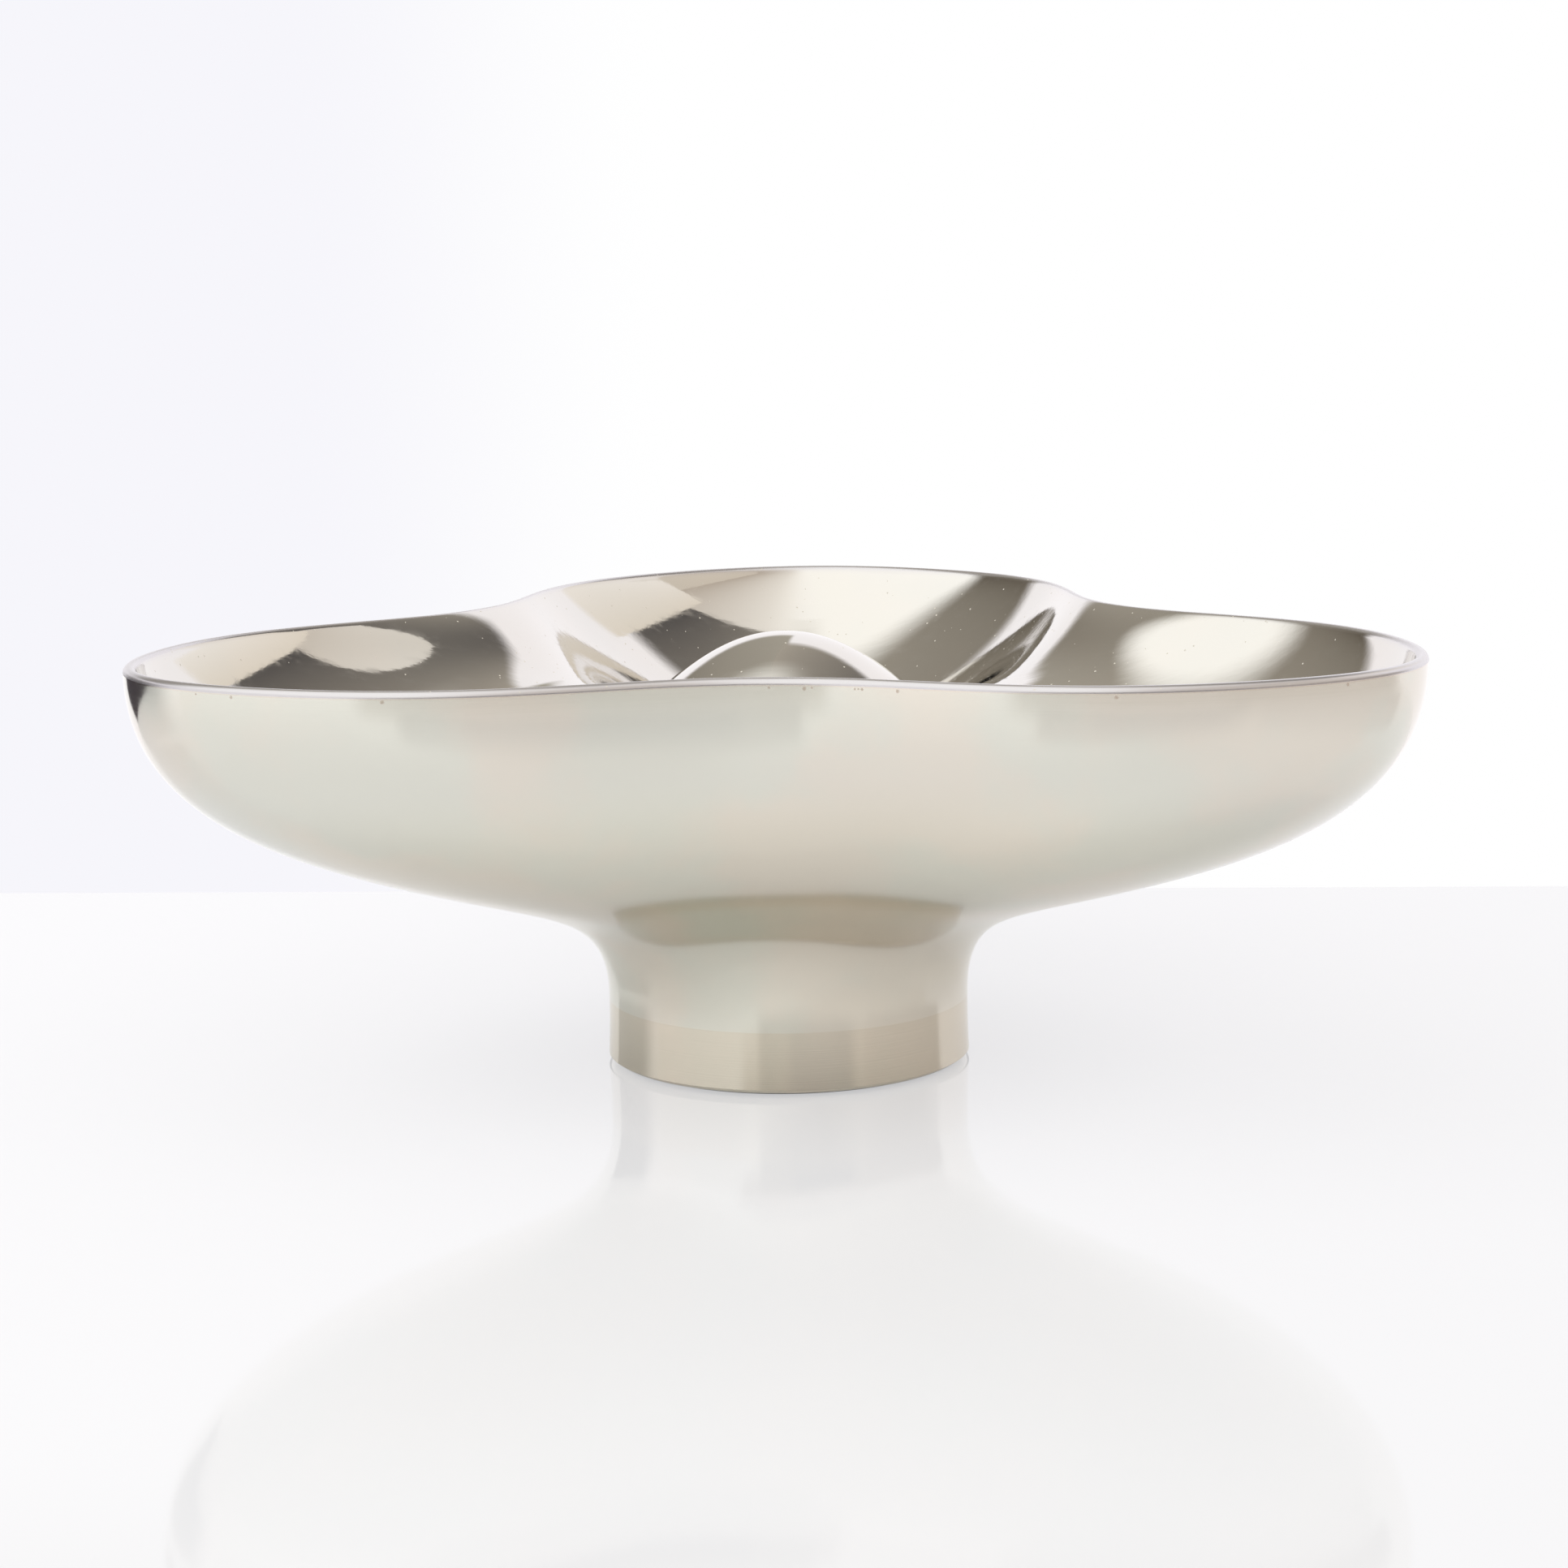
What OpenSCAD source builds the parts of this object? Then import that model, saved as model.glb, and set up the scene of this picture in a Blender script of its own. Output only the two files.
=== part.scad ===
// Footed serving bowl with three lobes, of two pressed steel skins joined at a rounded lip.
// Lengths are millimetres. The table is at height zero, the axis of the foot is the Z axis,
// and one lobe points along +Y.

/* [Plan of the lip] */
// Number of lobes around the bowl
lobes = 3; // [3:1:4]
// Distance from the axis to the lip's crest at the tip of a lobe
lobe_reach = 159.5; // [145:0.5:170]
// Distance from the axis to the lip's crest at a pinch between two lobes
pinch_reach = 94.5; // [88:0.5:104]
// How far the plan swells midway between the tip of a lobe and a pinch
flank_swell = 2.5; // [0:0.1:4]
// How far the plan is drawn in at the shoulders on both sides of that swelling
shoulder_draw = 1.6; // [0:0.1:2.5]

/* [Lip and skins] */
// Height of the lip's crest above the table
bowl_height = 105.5; // [98:0.5:120]
// Radius of the rounded lip
lip_radius = 1.5; // [1.2:0.1:2.4]
// Thickness of the sheet of both skins
sheet = 1; // [0.6:0.1:1.3]
// Thickness of the solder seam between the lip and the outer skin
rim_seam_gap = 0.3; // [0.2:0.05:0.6]

/* [Inside] */
// Distance from the lip's crest level down to the top of the dome
dome_drop = 0.9; // [0:0.1:8]
// Radius of curvature of the dome's top
dome_radius = 33.5; // [28:0.5:38]
// Distance from the axis to the deepest point of a well
well_reach = 79; // [74:1:90]
// Height above the table of the deepest point of a well
well_height = 57.5; // [54:0.5:64]
// Distance from the axis to the lowest point of a ridge
saddle_reach = 46; // [42:1:54]
// Height above the table of a ridge's lowest point
saddle_height = 85.8; // [76:0.2:90]
// How far a well's floor would run level before it turns up into the wall
floor_run = 38; // [26:1:44]
// How far the wall would keep its lean below the lip
wall_run = 14; // [8:0.5:20]
// Lean of the wall from upright at the tip of a lobe, in degrees
lobe_lean = 12; // [4:1:20]
// Lean of the wall from upright at a pinch, in degrees
pinch_lean = 60; // [45:1:65]

/* [Outside] */
// Height above the table at which the neck would stop rising straight
neck_height = 37.5; // [34:0.5:40]
// Height of the underside where the neck's fillet meets the belly
belly_height = 49.2; // [46:0.2:54]
// How far the underside would rise from neck to lip if it kept its slope at the belly's start
belly_rise = 34.2; // [30:0.2:38]
// How far the upright part of the wall reaches down from the lip
wall_drop = 31.5; // [24:0.5:38]

/* [Foot] */
// Radius of the foot at its waist
foot_radius = 44; // [40:0.5:48]
// How far the bottom of the foot flares out past the waist
foot_flare = 0.4; // [0.2:0.1:1.2]
// Height of the joint between the foot ring and the outer skin
foot_joint_height = 15; // [12:0.5:20]
// Thickness of the foot ring's wall
foot_wall = 4.5; // [3.5:0.5:7]
// Radius that rounds the foot's lower edge
foot_edge_radius = 2.6; // [1.5:0.1:2.8]
// Thickness of the weld between the foot ring and the outer skin
foot_seam_gap = 0.4; // [0.2:0.05:0.8]

/* [Base] */
// Width of the ledge in the foot ring that the base plate rests against
ledge_width = 1.5; // [1:0.1:2.5]
// Thickness of the base plate
plate_thickness = 1.2; // [0.8:0.1:2]
// Thickness of the pad under the base plate
pad_thickness = 1.8; // [1.4:0.1:3]
// How far the pad stands out below the foot's edge
pad_stand = 0.5; // [0.3:0.1:0.9]
// Clearance around the base plate and the pad
base_clearance = 0.15; // [0.1:0.05:0.4]

/* [Hidden] */
$fn = 96;

// Facets around the bowl and along each stretch of the two skins
around_count = 72;
dome_rings = 8;
well_rings = 9;
lip_rings = 8;
neck_rings = 8;
belly_rings = 8;

// Where the curve over the dome leaves its foot, as a share of the way to the well
dome_foot_share = 0.4;
// How much more of the turn the ridges take than an even wave would give them
ridge_width_share = 1.32;
// Place of the belly's start between the neck and the lip, and the stretches beside it
belly_start_share = 0.413;
neck_pull_share = 0.26;
belly_pull_share = 0.31;

mid_reach = (lobe_reach + pinch_reach) / 2;
reach_swing = (lobe_reach - pinch_reach) / 2;
lip_height = bowl_height - lip_radius;
skin_top = lip_height - rim_seam_gap;
skin_bottom = foot_joint_height + foot_seam_gap;
overrun = lip_radius;

// A lobe is at 90 degrees, so the turn around the axis starts there.
function radial(turn) = [cos(turn + 90), sin(turn + 90)];
function tangential(turn) = [-sin(turn + 90), cos(turn + 90)];

// Plan of the lip's crest: one wave for each lobe, with its flanks swelled and shoulders drawn in.
function crest_reach(turn) = mid_reach
    + reach_swing * cos(lobes * turn)
    + flank_swell * (1 - cos(2 * lobes * turn)) / 2
    - shoulder_draw * (1 - cos(4 * lobes * turn)) / 2;

// How fast that reach changes for each radian of turn.
function crest_slope(turn) = lobes * (
    -reach_swing * sin(lobes * turn)
    + flank_swell * sin(2 * lobes * turn)
    - 2 * shoulder_draw * sin(4 * lobes * turn));

// Point of the plan that lies a distance outside the crest, square to it.
function plan_point(turn, outside) =
    let (reach = crest_reach(turn), slope = crest_slope(turn))
    reach * radial(turn)
    + outside * (reach * radial(turn) - slope * tangential(turn)) / norm([reach, slope]);

function mix(from, to, share) = from + (to - from) * share;

// Point at a share of the way along a cubic curve with four control points.
function curve_point(points, share) =
    (1 - share) ^ 3 * points[0]
    + 3 * (1 - share) ^ 2 * share * points[1]
    + 3 * (1 - share) * share ^ 2 * points[2]
    + share ^ 3 * points[3];

// One at the middle of a lobe and nothing on a ridge.
function lobe_weight(turn) = (1 + cos(lobes * turn)) / 2;

// Lean of the inner wall from upright where it meets the lip.
function wall_lean(turn) = mix(pinch_lean, lobe_lean, lobe_weight(turn));

// Point on the round of the lip, at an angle up from its inner edge. Like all of the inner skin,
// it is set in by a depth of sheet, so that the same curves give the sheet's two faces.
function lip_point(turn, depth, angle) =
    let (
        roundness = lip_radius - depth,
        place = plan_point(turn, -roundness * cos(angle))
    )
    [place[0], place[1], lip_height + roundness * sin(angle)];

// Where the wall meets the round of the lip.
function wall_top(turn, depth) = lip_point(turn, depth, wall_lean(turn));

// Sections of the inner skin at one turn: the dome down to the well, then the wall up to the lip.
function well_point(turn, depth) =
    let (weight = lobe_weight(turn) ^ ridge_width_share)
    [mix(saddle_reach, well_reach, weight), mix(saddle_height, well_height, weight) - depth];
function dome_section(turn, depth) =
    let (
        top = bowl_height - dome_drop - depth,
        well = well_point(turn, depth),
        shoulder = sqrt(2 / 3 * (top - well[1]) * dome_radius)
    )
    [
        [0, top],
        [shoulder, top],
        [mix(shoulder, well[0], dome_foot_share), well[1]],
        well
    ];
function wall_section(turn, depth) =
    let (
        well = well_point(turn, depth),
        lean = wall_lean(turn),
        top = wall_top(turn, depth),
        reach = norm([top[0], top[1]])
    )
    [
        well,
        [well[0] + floor_run, well[1]],
        [reach - wall_run * sin(lean), top[2] - wall_run * cos(lean)],
        [reach, top[2]]
    ];

// Point of the inner skin from its section, in the direction of the wall's top.
function inner_point(turn, depth, section_point) =
    let (
        top = wall_top(turn, depth),
        place = section_point[0] * [top[0], top[1]] / norm([top[0], top[1]])
    )
    [place[0], place[1], section_point[1]];

// Rings of one face of the inner skin, from next to the dome's top to the lip's outer edge.
function inner_ring(ring, turn, depth) =
    ring <= dome_rings
        ? inner_point(turn, depth, curve_point(dome_section(turn, depth), ring / dome_rings))
    : ring <= dome_rings + well_rings
        ? inner_point(turn, depth,
            curve_point(wall_section(turn, depth), (ring - dome_rings) / well_rings))
    : lip_point(turn, depth,
        mix(wall_lean(turn), 180, (ring - dome_rings - well_rings) / lip_rings));

// Side of the outer skin: shares of the way from the neck to the lip, with heights.
function neck_section(depth) = [
    [0, skin_bottom],
    [0, neck_height + depth],
    [
        belly_start_share - neck_pull_share,
        belly_height - belly_rise * neck_pull_share + depth
    ],
    [belly_start_share, belly_height + depth]
];
function belly_section(depth) = [
    [belly_start_share, belly_height + depth],
    [
        belly_start_share + belly_pull_share,
        belly_height + belly_rise * belly_pull_share + depth
    ],
    [1, skin_top - wall_drop + depth],
    [1, skin_top]
];

// Rings of one face of the outer skin, from the neck's lower edge to the lip's seam.
function outer_ring(ring, turn, depth) =
    let (
        side = ring <= neck_rings
            ? curve_point(neck_section(depth), ring / neck_rings)
            : curve_point(belly_section(depth), (ring - neck_rings) / belly_rings),
        place = mix((foot_radius - depth) * radial(turn),
            plan_point(turn, lip_radius - depth), side[0])
    )
    [place[0], place[1], side[1]];

function turn_of(step) = 360 * step / around_count;
function next(step) = (step + 1) % around_count;

// Two triangles for each cell between two neighbouring rings of points.
function band(low, high) = [
    for (step = [0 : around_count - 1])
    let (
        a = low * around_count + step,
        b = low * around_count + next(step),
        c = high * around_count + next(step),
        d = high * around_count + step
    )
    each [[a, c, b], [a, d, c]]
];

// Closed skin from rings on its outside, followed by the rings on its other face in return order.
module skin(rings) {
    ring_count = len(rings);
    polyhedron(
        points = [for (ring = rings) each ring],
        faces = [
            for (ring = [0 : ring_count - 1]) each band(ring, (ring + 1) % ring_count)
        ]
    );
}

// Liner with its dome, wells, ridges and rounded lip, as one pressed sheet.
module inner_bowl() {
    last_ring = dome_rings + well_rings + lip_rings;
    upper_rings = [
        for (ring = [1 : last_ring])
        [for (step = [0 : around_count - 1]) inner_ring(ring, turn_of(step), 0)]
    ];
    lower_rings = [
        for (ring = [last_ring : -1 : 1])
        [for (step = [0 : around_count - 1]) inner_ring(ring, turn_of(step), sheet)]
    ];
    ring_count = len(upper_rings) + len(lower_rings);
    ring_points = [for (ring = concat(upper_rings, lower_rings)) each ring];
    top = len(ring_points);
    dome_top = bowl_height - dome_drop;
    color("gainsboro")
    polyhedron(
        points = concat(ring_points, [[0, 0, dome_top], [0, 0, dome_top - sheet]]),
        faces = concat(
            [for (ring = [0 : ring_count - 2]) each band(ring + 1, ring)],
            [for (step = [0 : around_count - 1]) [top, next(step), step]],
            [
                for (step = [0 : around_count - 1])
                let (last = (ring_count - 1) * around_count)
                [top + 1, last + step, last + next(step)]
            ]
        )
    );
}

// Outer skin, round at the neck and lobed at the lip.
module outer_bowl() {
    last_ring = neck_rings + belly_rings;
    color("lightgray")
    skin(concat(
        [
            for (ring = [0 : last_ring])
            [for (step = [0 : around_count - 1]) outer_ring(ring, turn_of(step), 0)]
        ],
        [
            for (ring = [last_ring : -1 : 0])
            [for (step = [0 : around_count - 1]) outer_ring(ring, turn_of(step), sheet)]
        ]
    ));
}

// Solder that closes the gap between the lip's edge and the outer skin.
module rim_seam() {
    color("tan")
    skin([
        for (corner = [[0, skin_top], [0, lip_height], [sheet, lip_height], [sheet, skin_top]])
        [
            for (step = [0 : around_count - 1])
            let (place = plan_point(turn_of(step), lip_radius - corner[0]))
            [place[0], place[1], corner[1]]
        ]
    ]);
}

// Turned ring of the foot: waisted outside, rounded below, with a ledge inside for the plate.
module foot_ring() {
    waist_curve = (foot_joint_height ^ 2 + foot_flare ^ 2) / (2 * foot_flare);
    edge_centre = foot_radius + foot_flare - foot_edge_radius;
    ledge_height = pad_thickness + plate_thickness;
    color("silver")
    rotate_extrude()
    difference() {
        translate([foot_radius - foot_wall, pad_stand])
        square([foot_wall + foot_flare, foot_joint_height - pad_stand]);
        translate([foot_radius + waist_curve, foot_joint_height])
        circle(waist_curve, $fn = 360);
        translate([edge_centre, pad_stand])
        difference() {
            square(foot_edge_radius);
            translate([0, foot_edge_radius])
            circle(foot_edge_radius);
        }
        translate([foot_radius - foot_wall - overrun, 0])
        square([ledge_width + overrun, ledge_height]);
    }
}

// Weld between the foot ring and the neck of the outer skin.
module foot_seam() {
    color("darkgray")
    translate([0, 0, foot_joint_height])
    difference() {
        cylinder(h = foot_seam_gap, r = foot_radius);
        translate([0, 0, -overrun])
        cylinder(h = foot_seam_gap + 2 * overrun, r = foot_radius - sheet);
    }
}

// Disc that closes the foot from below, against the ledge of the foot ring.
module base_plate() {
    color("silver")
    translate([0, 0, pad_thickness])
    cylinder(h = plate_thickness, r = foot_radius - foot_wall + ledge_width - base_clearance);
}

// Soft disc that the bowl stands on.
module base_pad() {
    color("dimgray")
    cylinder(h = pad_thickness, r = foot_radius - foot_wall + ledge_width - base_clearance);
}

inner_bowl();
outer_bowl();
rim_seam();
foot_ring();
foot_seam();
base_plate();
base_pad();
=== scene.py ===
import functools
import math

import bmesh
import bpy
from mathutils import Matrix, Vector


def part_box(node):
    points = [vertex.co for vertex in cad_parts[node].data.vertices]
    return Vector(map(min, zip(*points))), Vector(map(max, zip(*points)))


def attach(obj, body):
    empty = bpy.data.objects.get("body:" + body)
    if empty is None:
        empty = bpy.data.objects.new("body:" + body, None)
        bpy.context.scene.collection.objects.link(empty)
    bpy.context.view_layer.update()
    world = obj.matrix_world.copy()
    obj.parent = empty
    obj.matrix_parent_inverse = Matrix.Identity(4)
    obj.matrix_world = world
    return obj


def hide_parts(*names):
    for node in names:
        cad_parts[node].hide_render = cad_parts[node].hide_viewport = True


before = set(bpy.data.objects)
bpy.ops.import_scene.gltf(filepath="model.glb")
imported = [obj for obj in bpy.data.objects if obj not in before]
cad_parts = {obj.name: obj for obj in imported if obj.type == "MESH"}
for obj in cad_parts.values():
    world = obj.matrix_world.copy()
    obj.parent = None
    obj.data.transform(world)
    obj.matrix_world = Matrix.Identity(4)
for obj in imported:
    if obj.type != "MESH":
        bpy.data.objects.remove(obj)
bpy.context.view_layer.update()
scene = bpy.context.scene
scene.view_settings.view_transform = "Standard"

# Inner bowl: one sheet of stainless steel, pressed into a dome, three wells and the ridges
# between them. Its edge is rolled over into the rounded lip. It is polished like a mirror,
# with the fine scratches, haze and specks of dust that such a surface collects.
lip_radius = 0.0015
sheet = 0.001
inner_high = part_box("inner_bowl")[1]
bowl_height = inner_high.z
lobe_reach = inner_high.y - lip_radius
pinch_reach = 0.0945
flank_swell = 0.0025
shoulder_draw = 0.0016
dome_drop = 0.0009
dome_radius = 0.0335
well_reach, well_height = 0.079, 0.0575
saddle_reach, saddle_height = 0.046, 0.0858
floor_run, wall_run = 0.038, 0.014
lobe_lean, pinch_lean = math.radians(12), math.radians(60)
dome_foot_share = 0.4
ridge_width_share = 1.32
lip_height = bowl_height - lip_radius
lobes = 3
around_steps = 288
dome_rings, wall_rings, lip_rings = 36, 64, 20
merge_distance = 0.000001


def mix(start, end, share):
    return start + (end - start) * share


def radial(turn):
    return Vector((-math.sin(turn), math.cos(turn), 0))


@functools.cache
def crest(turn):
    """The lip's crest in plan, with the direction that points squarely out from it."""
    middle, swing = (lobe_reach + pinch_reach) / 2, (lobe_reach - pinch_reach) / 2
    wave, flanks, shoulders = lobes * turn, 2 * lobes * turn, 4 * lobes * turn
    reach = (
        middle + swing * math.cos(wave)
        + flank_swell * (1 - math.cos(flanks)) / 2
        - shoulder_draw * (1 - math.cos(shoulders)) / 2
    )
    slope = lobes * (
        -swing * math.sin(wave)
        + flank_swell * math.sin(flanks)
        - 2 * shoulder_draw * math.sin(shoulders)
    )
    along = Vector((-math.cos(turn), -math.sin(turn), 0))
    return radial(turn) * reach, (radial(turn) * reach - along * slope).normalized()


def plan_point(turn, outside):
    """The point of the plan that lies outside the lip's crest by a distance, square to it."""
    place, square = crest(turn)
    return place + square * outside


def curve_point(points, share):
    """A point on the curve from the first point to the last, pulled by the two between."""
    a, b, c, d = points
    rest = 1 - share
    return a * rest**3 + b * (3 * rest**2 * share) + c * (3 * rest * share**2) + d * share**3


def lobe_weight(turn):
    """One at the tip of a lobe, zero at a pinch."""
    return (1 + math.cos(lobes * turn)) / 2


def lip_point(turn, depth, angle):
    """A point on the round of the lip, at an angle up from its inner edge."""
    roundness = lip_radius - depth
    place = plan_point(turn, -roundness * math.cos(angle))
    place.z = lip_height + roundness * math.sin(angle)
    return place


def wall_lean(turn):
    return mix(pinch_lean, lobe_lean, lobe_weight(turn))


@functools.cache
def liner_sections(turn, depth):
    """The curves of the dome and of the wall at one turn, and the direction they run in."""
    weight, lean = lobe_weight(turn) ** ridge_width_share, wall_lean(turn)
    well = Vector((
        mix(saddle_reach, well_reach, weight),
        mix(saddle_height, well_height, weight) - depth,
    ))
    top = bowl_height - dome_drop - depth
    shoulder = math.sqrt(2 / 3 * (top - well.y) * dome_radius)
    foot = mix(shoulder, well.x, dome_foot_share)
    edge = lip_point(turn, depth, lean)
    wall_top = Vector((edge.xy.length, edge.z))
    dome = [Vector((0, top)), Vector((shoulder, top)), Vector((foot, well.y)), well]
    wall = [
        well,
        well + Vector((floor_run, 0)),
        wall_top - wall_run * Vector((math.sin(lean), math.cos(lean))),
        wall_top,
    ]
    return dome, wall, edge.xy.normalized()


def inner_point(ring, turn, depth):
    """A point on a face of the liner: dome, then wall, then the round of the lip."""
    if ring > dome_rings + wall_rings:
        share = (ring - dome_rings - wall_rings) / lip_rings
        return lip_point(turn, depth, mix(wall_lean(turn), math.pi, share))
    dome, wall, outward = liner_sections(turn, depth)
    if ring <= dome_rings:
        section = curve_point(dome, ring / dome_rings)
    else:
        section = curve_point(wall, (ring - dome_rings) / wall_rings)
    return Vector((*(outward * section.x), section.y))


def pressed_sheet(name, ring_count, place, sharp_angle=40):
    """Presses a flat grid, rings one way and turns the other, to its place around the axis.

    Each point keeps the number of its ring, which the brushed grain follows.
    """
    shape = bmesh.new()
    ring_layer = shape.verts.layers.float.new("ring")
    bmesh.ops.create_grid(shape, x_segments=ring_count, y_segments=around_steps, size=0.5)
    for vert in shape.verts:
        ring = round((vert.co.x + 0.5) * ring_count)
        step = round((vert.co.y + 0.5) * around_steps) % around_steps
        vert[ring_layer] = ring
        vert.co = place(ring, math.tau * step / around_steps)
    bmesh.ops.remove_doubles(shape, verts=shape.verts, dist=merge_distance)
    bmesh.ops.recalc_face_normals(shape, faces=shape.faces)
    return finished_piece(name, shape, sharp_angle)


def finished_piece(name, shape, sharp_angle=40):
    mesh = bpy.data.meshes.new(name)
    shape.to_mesh(mesh)
    shape.free()
    mesh.shade_smooth()
    mesh.set_sharp_from_angle(angle=math.radians(sharp_angle))
    piece = bpy.data.objects.new(name, mesh)
    scene.collection.objects.link(piece)
    return piece


inner_rings = dome_rings + wall_rings + lip_rings


def liner_place(ring, turn):
    if ring <= inner_rings:
        return inner_point(ring, turn, 0)
    return inner_point(2 * inner_rings + 1 - ring, turn, sheet)


liner = pressed_sheet("liner", 2 * inner_rings + 1, liner_place)


def feed(tree, node, inputs):
    """Feeds a node's inputs, by name or number, with values or with other nodes' outputs."""
    for key, value in inputs.items():
        if isinstance(value, bpy.types.NodeSocket):
            tree.links.new(value, node.inputs[key])
        else:
            node.inputs[key].default_value = value


def add(tree, kind, inputs=(), **settings):
    """Adds a shader node, sets it and feeds it."""
    node = tree.nodes.new("ShaderNode" + kind)
    for setting, value in settings.items():
        setattr(node, setting, value)
    feed(tree, node, dict(inputs))
    return node


def sums(tree, operation, first, second=0.0):
    return add(tree, "Math", {0: first, 1: second}, operation=operation).outputs[0]


def spread(tree, value, low, high, new_low=0.0, new_high=1.0):
    """Stretches a value from one range to another, softly at both ends."""
    inputs = {0: value, 1: low, 2: high, 3: new_low, 4: new_high}
    return add(tree, "MapRange", inputs, interpolation_type="SMOOTHSTEP").outputs[0]


def blend(tree, share, first, second):
    return add(tree, "Mix", {0: share, 6: first, 7: second}, data_type="RGBA").outputs[2]


def tone(red, green, blue):
    return (red, green, blue, 1)


def new_group(name, inputs, outputs):
    """Starts a shader node group. An input is a number, or a vector where its value is None."""
    group = bpy.data.node_groups.new(name, "ShaderNodeTree")
    for socket, value in inputs.items():
        kind = "NodeSocketVector" if value is None else "NodeSocketFloat"
        item = group.interface.new_socket(socket, in_out="INPUT", socket_type=kind)
        if value is not None:
            item.default_value = value
    for socket in outputs:
        group.interface.new_socket(socket, in_out="OUTPUT", socket_type="NodeSocketFloat")
    return group, group.nodes.new("NodeGroupInput").outputs, group.nodes.new("NodeGroupOutput")


def placed(tree, group, inputs):
    """Places a node group in a tree and gives its outputs."""
    node = tree.nodes.new("ShaderNodeGroup")
    node.node_tree = group
    feed(tree, node, inputs)
    return node.outputs


# Dust lies on what faces up: small round specks, one at most in each cell of a grid.
dust, dust_in, dust_out = new_group(
    "dust", {"Place": None, "Amount": 0.5, "Cells": 300.0}, ["Mask"])
cells = add(dust, "TexVoronoi", {"Vector": dust_in["Place"], "Scale": dust_in["Cells"]})
chance = add(dust, "SeparateColor", {0: cells.outputs["Color"]}).outputs
speck_size = spread(dust, chance[1], 0, 1, 0.05, 0.12)
inside = sums(dust, "LESS_THAN", cells.outputs["Distance"], speck_size)
chosen = sums(dust, "LESS_THAN", chance[0], dust_in["Amount"])
normal = add(dust, "NewGeometry").outputs["Normal"]
upward = spread(dust, add(dust, "SeparateXYZ", {0: normal}).outputs[2], 0.15, 0.75)
mask = sums(dust, "MULTIPLY", sums(dust, "MULTIPLY", inside, chosen), upward)
dust.links.new(mask, dust_out.inputs[0])


def new_material(name, color, metallic, roughness):
    material = bpy.data.materials.new(name)
    material.use_nodes = True
    shader = material.node_tree.nodes["Principled BSDF"]
    shader.inputs["Base Color"].default_value = color
    shader.inputs["Metallic"].default_value = metallic
    shader.inputs["Roughness"].default_value = roughness
    return material, material.node_tree, shader.inputs


polished, tree, surface = new_material("polished_steel", tone(0.74, 0.715, 0.68), 1.0, 0.06)
place = add(tree, "TexCoord").outputs["Object"]
wiping = add(tree, "Mapping", {
    "Vector": place, "Rotation": (0.5, 0.2, 0.9), "Scale": (18, 420, 420)}).outputs[0]
scratches = add(tree, "TexNoise", {"Vector": wiping, "Scale": 1.0, "Detail": 3.0}).outputs[0]
clouds = add(tree, "TexNoise", {"Vector": place, "Scale": 28.0, "Detail": 3.0}).outputs[0]
specks = placed(tree, dust, {"Place": place, "Amount": 0.5, "Cells": 420.0})["Mask"]
steel_tone = blend(tree, spread(tree, clouds, 0.35, 0.65),
                   tone(0.73, 0.71, 0.675), tone(0.75, 0.72, 0.68))
haze = spread(tree, scratches, 0.45, 0.8, 0.05, 0.13)
ring = add(tree, "Attribute", attribute_name="ring").outputs["Fac"]
lip_share = spread(tree, ring, dome_rings + wall_rings - 2, dome_rings + wall_rings + 3)
haze = sums(tree, "MAXIMUM", haze, sums(tree, "MULTIPLY", lip_share, 0.3))
steel_tone = blend(tree, lip_share, steel_tone, tone(0.66, 0.64, 0.655))
tree.links.new(blend(tree, specks, steel_tone, tone(0.8, 0.76, 0.68)), surface["Base Color"])
tree.links.new(sums(tree, "SUBTRACT", 1.0, specks), surface["Metallic"])
tree.links.new(sums(tree, "MAXIMUM", haze, specks), surface["Roughness"])
relief = add(tree, "Bump", {
    "Height": scratches, "Strength": 0.06, "Distance": 0.0002}).outputs[0]
tree.links.new(relief, surface["Normal"])

liner.data.materials.append(polished)
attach(liner, "root")
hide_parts("inner_bowl")

# Outer bowl: the second sheet, lobed under the lip and drawn down to the round neck.
# It is satin finished, brushed around, and closes the hollow between the two skins.
foot_radius = 0.044
foot_joint_height = 0.015
foot_seam_gap = 0.0004
rim_seam_gap = 0.0003
neck_height = 0.0375
belly_height = 0.0492
belly_rise = 0.0342
wall_drop = 0.0315
belly_start_share = 0.413
neck_pull_share = 0.26
belly_pull_share = 0.31
skin_top = lip_height - rim_seam_gap
skin_bottom = foot_joint_height + foot_seam_gap
neck_rings, belly_rings = 44, 56
skin_rings = neck_rings + belly_rings


@functools.cache
def skin_section(ring, depth):
    """The place of a ring: its share of the way from the neck to the lip, and its height."""
    if ring <= neck_rings:
        pull = neck_pull_share
        points = [
            (0, skin_bottom),
            (0, neck_height + depth),
            (belly_start_share - pull, belly_height - belly_rise * pull + depth),
            (belly_start_share, belly_height + depth),
        ]
        return curve_point([Vector(point) for point in points], ring / neck_rings)
    pull = belly_pull_share
    points = [
        (belly_start_share, belly_height + depth),
        (belly_start_share + pull, belly_height + belly_rise * pull + depth),
        (1, skin_top - wall_drop + depth),
        (1, skin_top),
    ]
    return curve_point([Vector(point) for point in points], (ring - neck_rings) / belly_rings)


def skin_point(ring, turn, depth):
    share, height = skin_section(ring, depth)
    place = mix(radial(turn) * (foot_radius - depth), plan_point(turn, lip_radius - depth), share)
    place.z = height
    return place


def skin_place(ring, turn):
    if ring <= skin_rings:
        return skin_point(ring, turn, 0)
    if ring <= 2 * skin_rings + 1:
        return skin_point(2 * skin_rings + 1 - ring, turn, sheet)
    return skin_point(0, turn, 0)


skin = pressed_sheet("skin", 2 * skin_rings + 2, skin_place)

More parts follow.
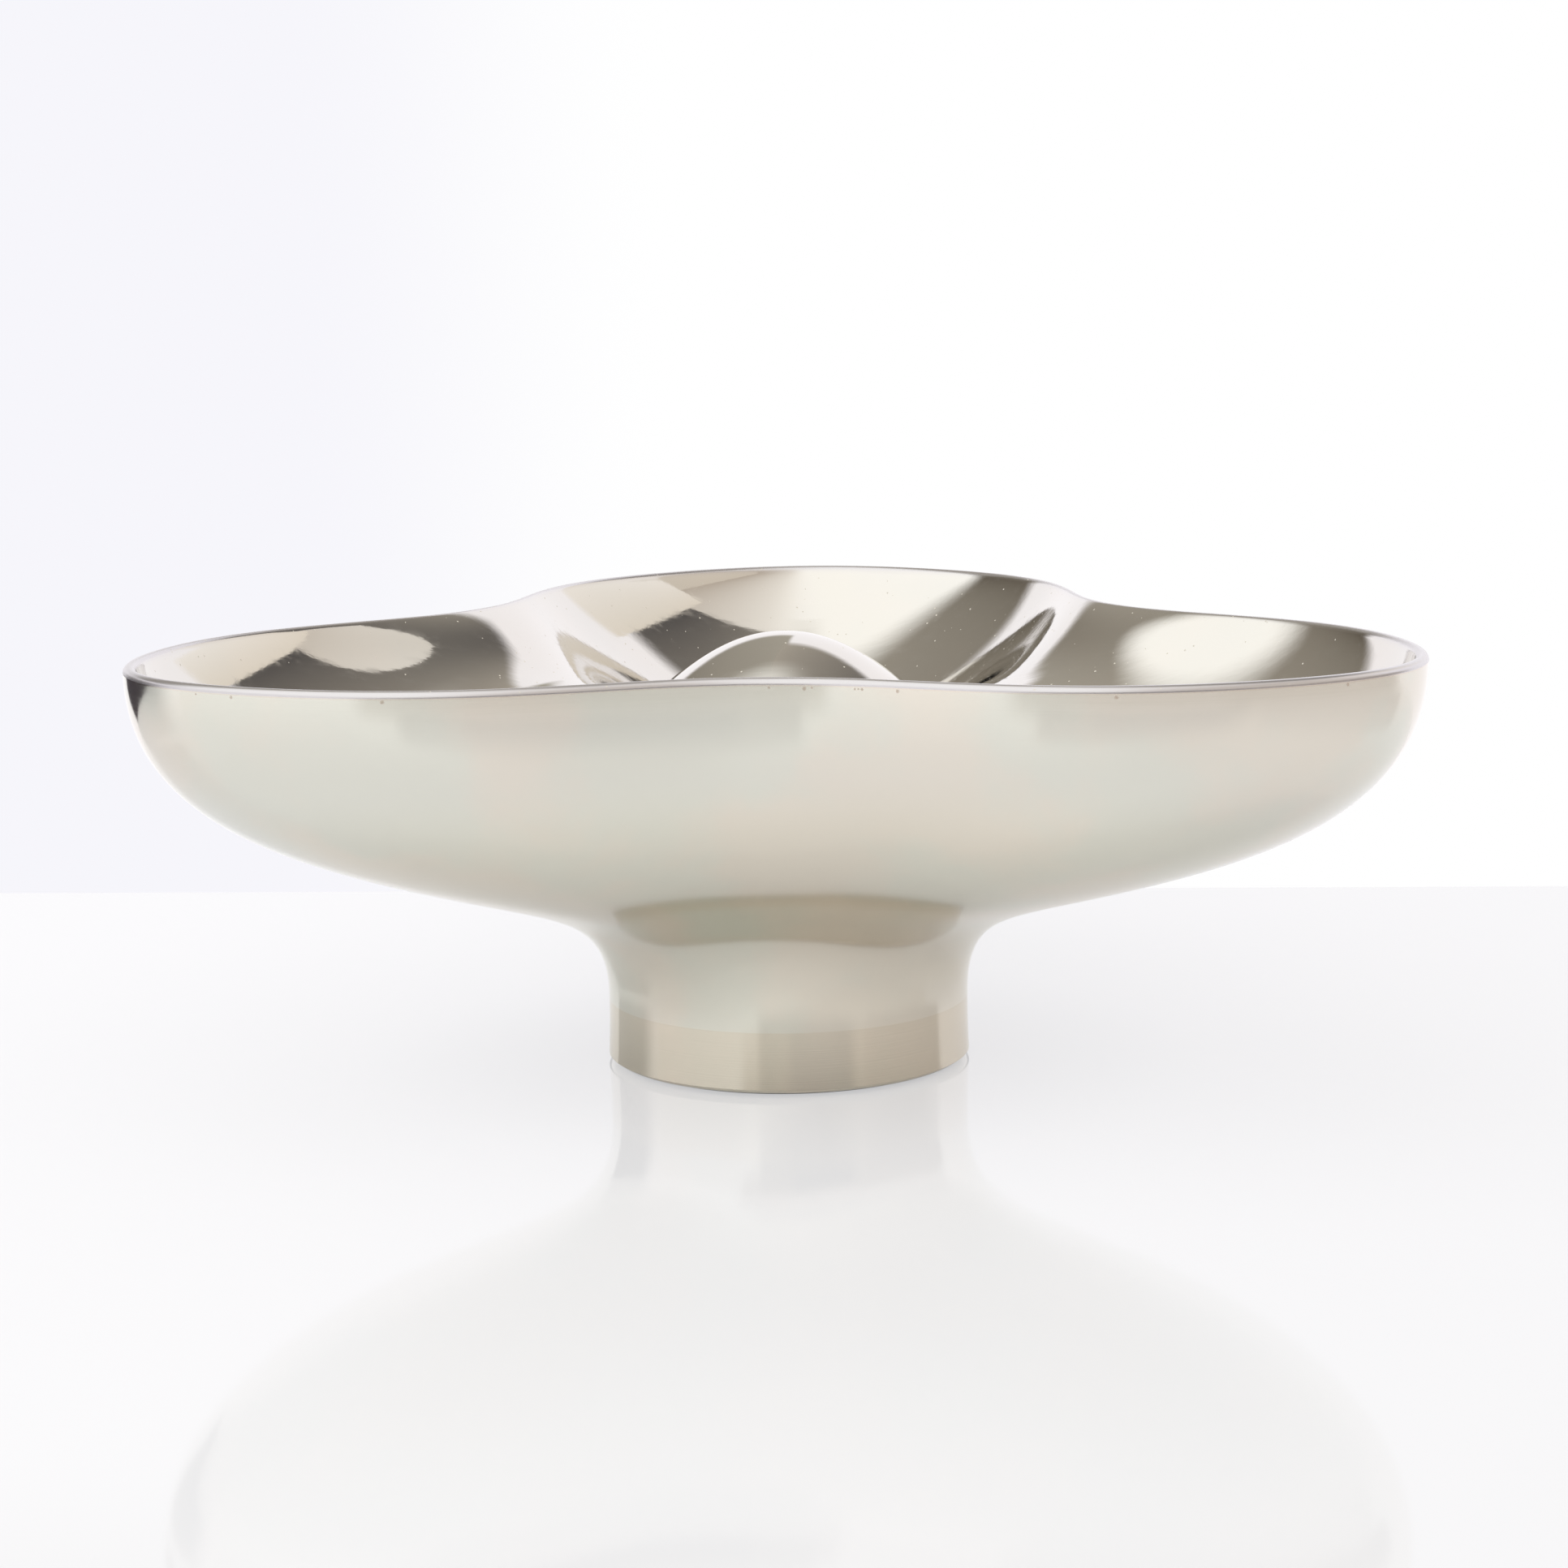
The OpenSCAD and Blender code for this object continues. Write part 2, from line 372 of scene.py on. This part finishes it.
# Brushed grain: long fine lines around the bowl, from noise that is stretched along them.
# Across counts the lines, and Place keeps their ends apart.
grain, grain_in, grain_out = new_group(
    "brushed_grain", {"Place": None, "Across": 0.0, "Length": 30.0}, ["Lines"])
ends = add(grain, "VectorMath", {0: grain_in["Place"], 3: grain_in["Length"]}, operation="SCALE")
along = add(grain, "SeparateXYZ", {0: ends.outputs[0]}).outputs
lines_place = add(grain, "CombineXYZ", {
    0: along[0], 1: along[1], 2: grain_in["Across"]}).outputs[0]
lines = add(grain, "TexNoise", {"Vector": lines_place, "Scale": 1.0, "Detail": 4.0}).outputs[0]
grain.links.new(lines, grain_out.inputs[0])

# Rust: brown spots with ragged edges, each round its own point just under the lip.
rust_turns = (129.3, 132.8, 145.2, 181.0, 185.6, 186.6, 191.8, 192.2, 192.6, 196.3, 213.4, 231.9)
rust_sizes = (0.7, 0.9, 1.0, 0.6, 1.1, 0.6, 0.7, 0.6, 0.7, 1.0, 1.1, 0.9)
rust_drop = 0.0004
rust, rust_in, rust_out = new_group("rust_spots", {"Place": None, "Size": 0.0006}, ["Mask"])
ragged = add(rust, "TexNoise", {"Vector": rust_in["Place"], "Scale": 900.0}).outputs[0]
spots = 0.0
for turn, size in zip(rust_turns, rust_sizes):
    spot = plan_point(math.radians(turn), lip_radius)
    spot.z = skin_top - rust_drop * size
    gap = add(rust, "VectorMath", {0: rust_in["Place"], 1: spot}, operation="DISTANCE")
    reach = sums(rust, "MULTIPLY", rust_in["Size"], size)
    share = sums(rust, "DIVIDE", gap.outputs["Value"], reach)
    near = spread(rust, sums(rust, "ADD", share, ragged), 0.75, 1.45, 0.5, 0.0)
    spots = sums(rust, "MAXIMUM", near, spots)
rust.links.new(spots, rust_out.inputs[0])


def satin_steel(name, cool, warm, across, lines_length, relief_share):
    """Satin steel with cloudy tones, its grain counted by the node output that across adds.

    Its grain runs level around the bowl, so that it smears what it mirrors up and down.
    """
    material, tree, surface = new_material(name, cool, 1.0, 0.2)
    place = add(tree, "TexCoord").outputs["Object"]
    lines = placed(tree, grain, {
        "Place": place, "Across": across(tree, place), "Length": lines_length})["Lines"]
    clouds = add(tree, "TexNoise", {"Vector": place, "Scale": 24.0, "Detail": 5.0}).outputs[0]
    spots = placed(tree, rust, {"Place": place})["Mask"]
    steel = blend(tree, spread(tree, clouds, 0.42, 0.6), cool, warm)
    tree.links.new(blend(tree, spots, steel, tone(0.28, 0.17, 0.1)), surface["Base Color"])
    tree.links.new(sums(tree, "SUBTRACT", 1.0, spots), surface["Metallic"])
    tree.links.new(spread(tree, lines, 0.3, 0.75, 0.1, 0.14), surface["Roughness"])
    surface["Anisotropic"].default_value = 0.75
    upward = add(tree, "CombineXYZ", {2: 1.0}).outputs[0]
    tree.links.new(upward, surface["Tangent"])
    relief = add(tree, "Bump", {
        "Height": lines, "Strength": relief_share, "Distance": 0.0001}).outputs[0]
    tree.links.new(relief, surface["Normal"])
    return material


lines_per_ring = 6.0


def ring_lines(tree, place):
    ring = add(tree, "Attribute", attribute_name="ring").outputs["Fac"]
    return sums(tree, "MULTIPLY", ring, lines_per_ring)


satin = satin_steel(
    "satin_steel", tone(0.69, 0.683, 0.612), tone(0.725, 0.678, 0.6), ring_lines, 30.0, 0.02)
skin.data.materials.append(satin)
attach(skin, "root")
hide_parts("outer_bowl")

# Rim seam: the line of solder between the rolled lip and the outer skin, ground flush.
# It is a little darker than the steel, and rust starts from it.
rim_corners = [(0, skin_top), (0, lip_height), (sheet, lip_height), (sheet, skin_top)]


def seam_place(ring, turn):
    depth, height = rim_corners[ring % len(rim_corners)]
    place = plan_point(turn, lip_radius - depth)
    place.z = height
    return place


seam = pressed_sheet("seam", len(rim_corners), seam_place)
solder = satin_steel(
    "solder", tone(0.68, 0.64, 0.57), tone(0.72, 0.65, 0.57), ring_lines, 200.0, 0.02)
seam.data.materials.append(solder)
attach(seam, "root")
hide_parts("rim_seam")

# Foot ring: turned from a thick ring, slightly waisted outside, rounded at its lower edge,
# with a ledge inside for the plate. It is brushed around, like the skin above it.
foot_flare = 0.0004
foot_wall = 0.0045
foot_edge_radius = 0.0026
pad_stand = 0.0005
ledge_width = 0.0015
plate_thickness = 0.0012
pad_thickness = 0.0018
ledge_height = pad_thickness + plate_thickness
waist_curve = (foot_joint_height**2 + foot_flare**2) / (2 * foot_flare)
waist_steps = 12
foot_edge_segments = 8


def waist_reach(height):
    drop = foot_joint_height - height
    return foot_radius + waist_curve - math.sqrt(waist_curve**2 - drop**2)


def spun_ring(name, profile, rounded=(), rounding=0.0):
    """Spins a closed profile of reaches and heights, and rounds the edge at some corners."""
    shape = bmesh.new()
    corners = [shape.verts.new((0, reach, height)) for reach, height in profile]
    edges = [shape.edges.new(pair) for pair in zip(corners, corners[1:] + corners[:1])]
    bmesh.ops.spin(
        shape, geom=corners + edges, cent=(0, 0, 0), axis=(0, 0, 1),
        angle=math.tau, steps=around_steps, use_merge=True, use_duplicate=False,
    )
    for reach, height in rounded:
        ring = [
            edge for edge in shape.edges
            if all(math.dist((vert.co.xy.length, vert.co.z), (reach, height)) < merge_distance
                   for vert in edge.verts)
        ]
        bmesh.ops.bevel(
            shape, geom=ring, offset=rounding, segments=foot_edge_segments, profile=0.5,
            affect="EDGES", material=-1,
        )
    bmesh.ops.recalc_face_normals(shape, faces=shape.faces)
    return finished_piece(name, shape)


waist = [
    (waist_reach(height), height)
    for height in (mix(foot_joint_height, pad_stand, step / waist_steps)
                   for step in range(waist_steps + 1))
]
foot_profile = waist + [
    (foot_radius - foot_wall + ledge_width, pad_stand),
    (foot_radius - foot_wall + ledge_width, ledge_height),
    (foot_radius - foot_wall, ledge_height),
    (foot_radius - foot_wall, foot_joint_height),
]
foot = spun_ring("foot", foot_profile, waist[-1:], foot_edge_radius)


lines_per_metre = 3500.0


def height_lines(tree, place):
    height = add(tree, "SeparateXYZ", {0: place}).outputs[2]
    return sums(tree, "MULTIPLY", height, lines_per_metre)


brushed = satin_steel(
    "brushed_steel", tone(0.68, 0.635, 0.54), tone(0.705, 0.64, 0.545), height_lines, 22.0, 0.06)
foot.data.materials.append(brushed)
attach(foot, "root")
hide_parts("foot_ring")

# Foot seam: the weld that joins the foot ring to the neck. It is of the same steel, ground
# flush and brushed over, so that hardly anything of it shows.
weld_profile = [
    (foot_radius, foot_joint_height), (foot_radius, skin_bottom),
    (foot_radius - sheet, skin_bottom), (foot_radius - sheet, foot_joint_height),
]
weld = spun_ring("weld", weld_profile)
weld.data.materials.append(brushed)
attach(weld, "root")
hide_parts("foot_seam")

# Base plate: a disc of sheet steel, pressed up into the foot against its ledge. It carries
# the fine rings of the lathe tool that faced it.
base_clearance = 0.00015
plate_radius = foot_radius - foot_wall + ledge_width - base_clearance
faced, tree, surface = new_material("faced_steel", tone(0.62, 0.60, 0.57), 1.0, 0.35)
place = add(tree, "TexCoord").outputs["Object"]
rings = add(tree, "TexWave", {"Vector": place, "Scale": 900.0, "Distortion": 0.4},
            wave_type="RINGS", rings_direction="Z").outputs["Fac"]
stains = add(tree, "TexNoise", {"Vector": place, "Scale": 60.0, "Detail": 3.0}).outputs[0]
tree.links.new(blend(tree, stains, tone(0.55, 0.53, 0.50), tone(0.68, 0.66, 0.62)),
               surface["Base Color"])
tree.links.new(spread(tree, rings, 0, 1, 0.3, 0.42), surface["Roughness"])
turned = add(tree, "Bump", {"Height": rings, "Strength": 0.2, "Distance": 0.0001}).outputs[0]
tree.links.new(turned, surface["Normal"])
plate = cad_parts["base_plate"]
plate.data.materials.clear()
plate.data.materials.append(faced)

# Base pad: a disc of dark felt glued under the plate. It stands half a millimetre proud of
# the foot's edge, so that the steel doesn't scratch the table.
pad_rounding = 0.0003
pad_edge_segments = 3
pad_shape = bmesh.new()
bmesh.ops.create_circle(
    pad_shape, cap_ends=True, cap_tris=False, segments=around_steps, radius=plate_radius)
pad_top = bmesh.ops.extrude_face_region(pad_shape, geom=pad_shape.faces[:])
top_verts = [item for item in pad_top["geom"] if isinstance(item, bmesh.types.BMVert)]
bmesh.ops.translate(pad_shape, verts=top_verts, vec=(0, 0, pad_thickness))
lower_edges = [
    edge for edge in pad_shape.edges if all(vert.co.z < pad_rounding for vert in edge.verts)
]
bmesh.ops.bevel(
    pad_shape, geom=lower_edges, offset=pad_rounding, segments=pad_edge_segments,
    profile=0.5, affect="EDGES", material=-1,
)
bmesh.ops.recalc_face_normals(pad_shape, faces=pad_shape.faces)
pad = finished_piece("pad", pad_shape)
felt, tree, surface = new_material("felt", tone(0.035, 0.033, 0.032), 0.0, 0.95)
place = add(tree, "TexCoord").outputs["Object"]
fibres = add(tree, "TexNoise", {
    "Vector": place, "Scale": 2500.0, "Detail": 5.0, "Distortion": 2.0}).outputs[0]
wear = add(tree, "TexNoise", {"Vector": place, "Scale": 70.0, "Detail": 2.0}).outputs[0]
tree.links.new(
    blend(tree, sums(tree, "MULTIPLY", fibres, wear), tone(0.015, 0.014, 0.014),
          tone(0.10, 0.095, 0.09)),
    surface["Base Color"])
nap = add(tree, "Bump", {"Height": fibres, "Strength": 0.7, "Distance": 0.0003}).outputs[0]
tree.links.new(nap, surface["Normal"])
surface["Sheen Weight"].default_value = 0.3
pad.data.materials.append(felt)
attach(pad, "root")
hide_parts("base_pad")

# Camera: a little above the lip, looking down on the bowl from the side between two lobes.
# It stands 0.8 m away and has a long lens.
camera_place = Vector((0.03946, -0.78315, 0.19354))
camera_angles = (80.843, 0.803, 2.781)
camera_data = bpy.data.cameras.new("camera")
camera_data.sensor_width = 36
camera_data.lens = 74.83
camera = bpy.data.objects.new("camera", camera_data)
scene.collection.objects.link(camera)
camera.location = camera_place
camera.rotation_euler = [math.radians(angle) for angle in camera_angles]
scene.camera = camera

# Table: a glossy white sheet whose back edge shows behind the bowl. Part of its white is
# its own glow, less of it in what the steel mirrors, so that the foot stands in some shade.
table_left, table_right, table_front, table_back = -1.6, 1.6, -1.8, 0.21
table_shape = bmesh.new()
bmesh.ops.create_grid(table_shape, x_segments=1, y_segments=1, size=0.5)
for vert in table_shape.verts:
    vert.co.x = mix(table_left, table_right, vert.co.x + 0.5)
    vert.co.y = mix(table_front, table_back, vert.co.y + 0.5)
table = finished_piece("table", table_shape)
glazed = bpy.data.materials.new("table_white")
glazed.use_nodes = True
tree = glazed.node_tree
tree.nodes.clear()
seen = add(tree, "LightPath").outputs["Is Camera Ray"]
place = add(tree, "TexCoord").outputs["Object"]
across = add(tree, "SeparateXYZ", {0: place}).outputs[0]
far = add(tree, "VectorMath", {0: place}, operation="LENGTH").outputs["Value"]
lit_share = spread(tree, seen, 0, 1, 0.84, 0.22)
# The glow the camera sees holds a painted shadow, dimming near the foot, and painted light, a
# little brighter towards the left than the right.
shown_glow_painted_shade_and_light = sums(tree, "MULTIPLY", spread(tree, far, 0.045, 0.11, 0.675, 0.72),
                  spread(tree, across, -0.25, 0.25, 1.015, 0.965))
mirrored_glow = spread(tree, far, 0.1, 0.3, 0.15, 0.14)
# Painted light: the glow that the steel mirrors is tinted blue, more strongly beyond 0.1 to 0.2 m
# from the axis.
painted_blue_light_tone = blend(
    tree, spread(tree, far, 0.1, 0.2), tone(0.94, 1.0, 1.1), tone(0.9, 1.0, 1.35))
glow = add(tree, "Mix", {0: seen, 2: mirrored_glow, 3: shown_glow_painted_shade_and_light}).outputs[0]
matt = add(tree, "BsdfDiffuse", {
    "Color": add(tree, "CombineColor", {0: lit_share, 1: lit_share, 2: lit_share}).outputs[0]})
glow_tone = blend(tree, seen, painted_blue_light_tone, tone(1.0, 1.0, 1.02))
glowing = add(tree, "Emission", {"Color": glow_tone, "Strength": glow})
body = add(tree, "AddShader", {0: matt.outputs[0], 1: glowing.outputs[0]})
gloss_tone = blend(tree, seen, tone(1, 1, 1), tone(0.76, 0.76, 0.77))
gloss = add(tree, "BsdfGlossy", {"Color": gloss_tone, "Roughness": 0.05})
edge_on = add(tree, "Fresnel", {"IOR": 1.42}).outputs[0]
sheen = add(tree, "MixShader", {0: edge_on, 1: body.outputs[0], 2: gloss.outputs[0]})
add(tree, "OutputMaterial", {0: sheen.outputs[0]})
table.data.materials.append(glazed)

# Studio: white all round, with cards that only the steel mirrors. Dark and pale screens and
# a softbox hang overhead, a cream board stands at the right, and low cards dim the horizon.
world = bpy.data.worlds.new("studio")
scene.world = world
world.use_nodes = True
tree = world.node_tree
tree.nodes.clear()
light_path = add(tree, "LightPath").outputs
light = blend(tree, light_path["Is Glossy Ray"], tone(1.2, 1.2, 1.21), tone(1.13, 1.11, 1.14))
view = add(tree, "SeparateXYZ", {0: add(tree, "TexCoord").outputs["Generated"]}).outputs[0]
backdrop = blend(tree, spread(tree, view, -0.2, -0.08), tone(0.925, 0.92, 0.965), tone(1, 1, 1))
color = blend(tree, light_path["Is Camera Ray"], light, backdrop)
background = add(tree, "Background", {"Color": color})
add(tree, "OutputWorld", {0: background.outputs[0]})

bowl_middle = Vector((0, 0, 0.08))


def card_light(low, high, left, right, bottom, top):
    """A card's light: one colour at its bottom, another at its top, faded out at its edges."""
    material = bpy.data.materials.new("card_light")
    material.use_nodes = True
    tree = material.node_tree
    tree.nodes.clear()
    corner = add(tree, "SeparateXYZ", {0: add(tree, "UVMap").outputs[0]}).outputs
    shown = sums(tree, "SUBTRACT", 1.0, add(tree, "NewGeometry").outputs["Backfacing"])
    for value, fade in ((corner[0], left), (sums(tree, "SUBTRACT", 1.0, corner[0]), right),
                        (corner[1], bottom), (sums(tree, "SUBTRACT", 1.0, corner[1]), top)):
        shown = sums(tree, "MULTIPLY", shown, spread(tree, value, 0, fade))
    glow = add(tree, "Emission", {"Color": blend(tree, corner[1], tone(*low), tone(*high))})
    clear = add(tree, "BsdfTransparent")
    card = add(tree, "MixShader", {0: shown, 1: clear.outputs[0], 2: glow.outputs[0]})
    add(tree, "OutputMaterial", {0: card.outputs[0]})
    material.cycles.emission_sampling = "NONE"
    return material


def hung_card(name, corner, across, up, low, high, fades):
    """Hangs a card by a corner and two of its sides. The camera doesn't see it.

    Its face is the side from which up lies to the left of across.
    """
    corner, across, up = Vector(corner), Vector(across), Vector(up)
    shape = bmesh.new()
    shape.loops.layers.uv.new("card")
    bmesh.ops.create_grid(shape, x_segments=1, y_segments=1, size=0.5, calc_uvs=True)
    for vert in shape.verts:
        vert.co = corner + across * (vert.co.x + 0.5) + up * (vert.co.y + 0.5)
    card = finished_piece(name, shape)
    card.data.materials.append(card_light(low, high, *fades))
    card.visible_camera = card.visible_shadow = False


def studio_card(name, azimuth, elevation, distance, size, low, high, fades):
    """Hangs an upright card. Azimuth is zero at the camera's side and grows to the right."""
    turn, rise = math.radians(azimuth), math.radians(elevation)
    hung = bowl_middle + distance * Vector((
        math.cos(rise) * math.sin(turn), -math.cos(rise) * math.cos(turn), math.sin(rise)))
    facing = (bowl_middle - hung).normalized()
    across = Vector((0, 0, 1)).cross(facing).normalized()
    up = facing.cross(across) * size[1]
    across *= size[0]
    hung_card(name, hung - across / 2 - up / 2, across, up, low, high, fades)


hung_card("rear_right", (2.6, 2.7, 2.3), (-0.5, -3.0, 0), (-2.6, 0, 0),
          (0.03, 0.03, 0.04), (0.48, 0.44, 0.38), (0.25, 0.02, 0.01, 0.02))
hung_card("rear_left", (0.05, 6.0, 2.35), (0, -6.3, 0), (-5.5, 0, 0),
          (0.47, 0.44, 0.38), (0.09, 0.07, 0.05), (0.3, 0.02, 0.02, 0.15))
hung_card("front_screen", (2.4, 0.5, 2.2), (0, -6.0, 0), (-2.9, -0.66, 0),
          (0.58, 0.51, 0.44), (1.28, 1.27, 1.22), (0.003, 0.02, 0.01, 0.3))
hung_card("front_right", (7.0, 1.6, 2.21), (0, -7.0, 0), (-4.7, -1.13, 0),
          (0.85, 0.79, 0.7), (0.76, 0.69, 0.6), (0.01, 0.02, 0.1, 0.01))
hung_card("softbox", (0.6, 1.0, 2.1), (0.5, -9.0, 0), (-5.6, 0.1, 0),
          (1.25, 1.25, 1.2), (1.3, 1.3, 1.28), (0.08, 0.02, 0.2, 0.1))
hung_card("cream_board", (1.95, 3.4, 1.0), (-0.3, -3.5, -0.05), (0.06, 0.1, 1.27),
          (1.1, 1.06, 1.02), (0.93, 0.86, 0.76), (0.2, 0.01, 0.15, 0.01))

studio_card("left_window", -55, 14, 1.7, (2.2, 0.9),
            (1.0, 0.98, 0.97), (1.15, 1.14, 1.12), (0.2, 0.05, 0.05, 0.3))
studio_card("front_room", 10, 8, 2.4, (4.4, 0.8),
            (0.35, 0.3, 0.24), (0.9, 0.85, 0.8), (0.15, 0.15, 0.05, 0.4))
studio_card("right_room", 75, 10, 2.2, (4.0, 1.0),
            (0.35, 0.29, 0.23), (0.65, 0.6, 0.54), (0.2, 0.2, 0.05, 0.4))
studio_card("near_room", 15, 7.5, 0.8, (1.05, 0.25),
            (0.22, 0.19, 0.15), (0.34, 0.3, 0.25), (0.1, 0.1, 0.15, 0.3))
studio_card("near_wall", 80, 7, 0.8, (1.05, 0.24),
            (0.36, 0.3, 0.25), (0.38, 0.32, 0.27), (0.1, 0.1, 0.15, 0.3))
studio_card("near_stand", 22, 3.5, 0.7, (0.55, 0.13),
            (0.02, 0.015, 0.012), (0.05, 0.04, 0.03), (0.15, 0.15, 0.2, 0.3))
studio_card("doorway", -112, 6, 1.3, (1.2, 0.5),
            (0.03, 0.03, 0.04), (0.3, 0.27, 0.25), (0.35, 0.06, 0.01, 0.25))
hung_card("dark_floor", (-1.6, 0.2, -0.002), (1.22, 0, 0), (-0.5, 1.0, 0),
          (0.07, 0.06, 0.07), (0.08, 0.07, 0.08), (0.02, 0.02, 0.01, 0.02))
